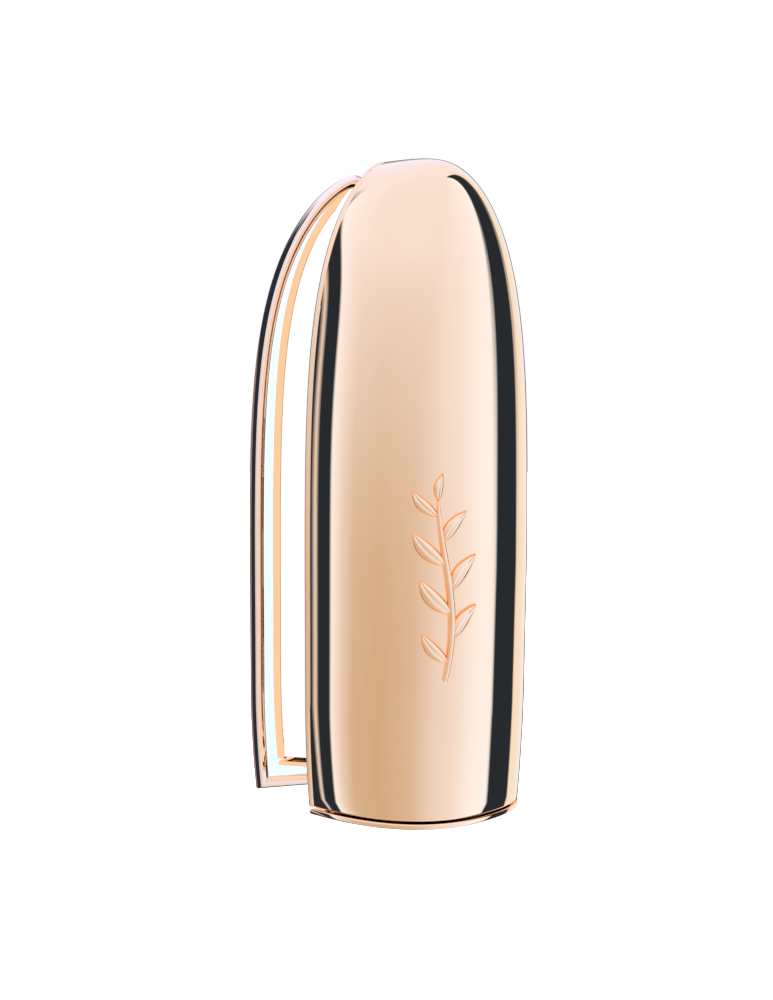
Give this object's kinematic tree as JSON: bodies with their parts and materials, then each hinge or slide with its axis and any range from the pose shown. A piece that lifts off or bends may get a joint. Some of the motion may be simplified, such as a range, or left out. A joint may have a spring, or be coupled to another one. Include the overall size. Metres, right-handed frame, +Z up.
{
  "type": "lipstick case",
  "caption": "Half-bullet metal lipstick case with a hinged mirror leaf at its back and a twist-up refill that draws out of the bottom.",
  "frame": {"origin": "underside of the base plate, on the refill's axis", "axes": "+Z up to the top of the dome; the shell's front faces -Y, the mirror leaf is behind at +Y and its hinge is at +X"},
  "size_m": [0.028, 0.0336, 0.0807],
  "materials": {
    "gold": "polished rose-gold plating",
    "pale_gold": "polished pale rose-gold plating",
    "mirror": "silvered glass",
    "steel": "bright nickel-plated steel",
    "black_plastic": "moulded black",
    "ivory_plastic": "moulded ivory",
    "tape": "black foam adhesive",
    "rouge": "satin lipstick wax"
  },
  "bodies": {
    "case": {"front_shell": "gold", "rear_frame": "steel", "body_mirror": "mirror", "body_mirror_tape": "tape", "inner_sleeve": "black_plastic", "top_weight": "steel", "hinge_pin": "steel", "grip_spring_left": "steel", "grip_spring_right": "steel", "catch_magnet_upper": "steel", "catch_magnet_lower": "steel", "base_keeper_left": "steel", "base_keeper_right": "steel"},
    "leaf": {"leaf_shell": "gold", "leaf_frame": "pale_gold", "leaf_mirror": "mirror", "leaf_mirror_tape": "tape", "leaf_keeper_upper": "steel", "leaf_keeper_lower": "steel"},
    "refill": {"base_plate": "gold", "base_magnet_left": "steel", "base_magnet_right": "steel", "base_weight": "steel", "spiral_barrel": "gold"},
    "turning_tube": {"inner_tube": "ivory_plastic", "twist_collar": "gold"},
    "carrier": {"carrier_cup": "ivory_plastic", "lipstick_bullet": "rouge"}
  },
  "joints": [
    {"name": "leaf_hinge", "type": "hinge", "parent": "case", "child": "leaf", "pos_m": [0.0127, 0.01118, 0.027], "axis": [0, 0, -1], "range_deg": [-27, 73]},
    {"name": "refill_pull", "type": "slide", "parent": "case", "child": "refill", "axis": [0, 0, -1], "range_m": [0, 0.045]},
    {"name": "tube_twist", "type": "hinge", "parent": "refill", "child": "turning_tube", "pos_m": [0, 0, 0.03], "axis": [0, 0, 1], "range_deg": [0, 540]},
    {"name": "bullet_rise", "type": "slide", "parent": "turning_tube", "child": "carrier", "axis": [0, 0, 1], "range_m": [0, 0.018]}
  ],
  "couplings": [
    {"joint": "tube_twist", "follows": "bullet_rise", "rad_per_m": 523.6}
  ]
}
